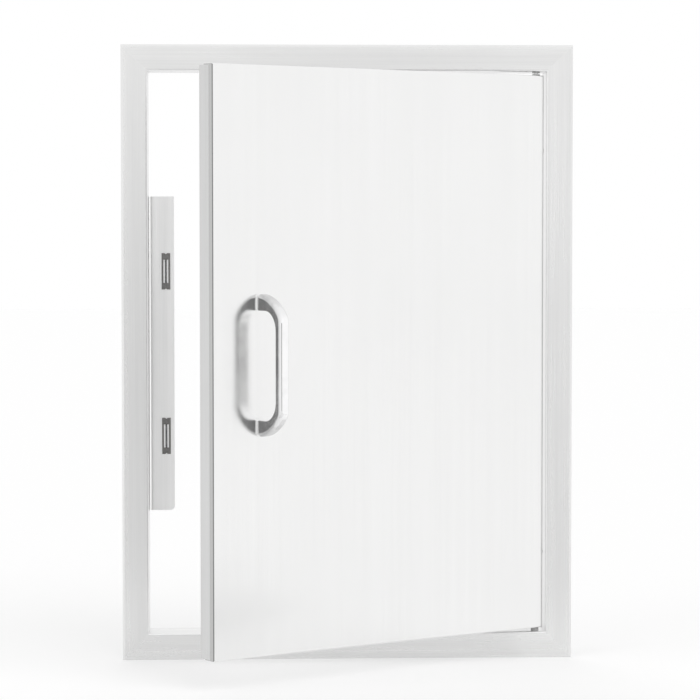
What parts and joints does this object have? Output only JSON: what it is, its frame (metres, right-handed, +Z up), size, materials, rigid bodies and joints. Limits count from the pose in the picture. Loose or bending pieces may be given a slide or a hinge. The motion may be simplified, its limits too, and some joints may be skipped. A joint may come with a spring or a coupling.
{
  "type": "outdoor kitchen island access door",
  "caption": "Single access door for an outdoor kitchen island: a flanged frame with return walls, a flush double-skinned door on two pivot pins, a bow handle and magnetic catches.",
  "frame": {"origin": "centre of the frame's opening, in the plane of the wall's outer face, where the flange's lip rests", "axes": "+X to the right as seen from outside, towards the hinged side; +Y into the island, square to the wall; +Z up"},
  "size_m": [0.489, 0.2714, 0.6668],
  "materials": {
    "frame_stainless": "brushed along each side",
    "door_stainless": "fine brushed",
    "handle_chrome": "polished plate",
    "galvanised_steel": "galvanised, dull",
    "plated_steel": "zinc plated",
    "pin_steel": "turned, bright",
    "rivet_aluminium": "satin",
    "ferrite": "sintered, dull",
    "catch_plastic": "moulded, matt",
    "bush_nylon": "moulded, matt",
    "knob_plastic": "moulded, matt",
    "plug_plastic": "moulded, matt"
  },
  "bodies": {
    "frame": {"frame_left_stile": "frame_stainless", "frame_right_stile": "frame_stainless", "frame_top_rail": "frame_stainless", "frame_bottom_rail": "frame_stainless", "upper_frame_bush": "bush_nylon", "lower_frame_bush": "bush_nylon", "strike_bracket": "frame_stainless", "bracket_rivets": "rivet_aluminium", "upper_catch_case": "catch_plastic", "upper_catch_poles": "plated_steel", "upper_catch_magnet": "ferrite", "lower_catch_case": "catch_plastic", "lower_catch_poles": "plated_steel", "lower_catch_magnet": "ferrite"},
    "door": {"door_front_skin": "door_stainless", "door_liner": "door_stainless", "door_channel": "galvanised_steel", "handle_stiffener": "galvanised_steel", "pull_handle": "handle_chrome", "handle_screws": "pin_steel", "handle_washers": "galvanised_steel", "liner_plugs": "plug_plastic", "pin_bracket": "galvanised_steel", "door_pin_bush": "bush_nylon", "pin_spring": "pin_steel", "lower_pivot_block": "pin_steel", "lower_pivot_pin": "pin_steel", "lower_thrust_washer": "bush_nylon", "upper_strike_plate": "plated_steel", "lower_strike_plate": "plated_steel", "strike_rivets": "rivet_aluminium"},
    "upper_pin": {"upper_pivot_pin": "pin_steel", "pin_clips": "pin_steel", "release_knob": "knob_plastic"}
  },
  "joints": [
    {"name": "door_hinge", "type": "hinge", "parent": "frame", "child": "door", "pos_m": [0.205, 0.001, 0], "axis": [0, 0, 1], "range_deg": [-32, 78]},
    {"name": "pin_slide", "type": "slide", "parent": "door", "child": "upper_pin", "axis": [0, 0, 1], "range_m": [-0.008, 0], "stiffness_N_per_m": 1100, "springref_m": 0.005, "deforming": ["pin_spring"]}
  ]
}
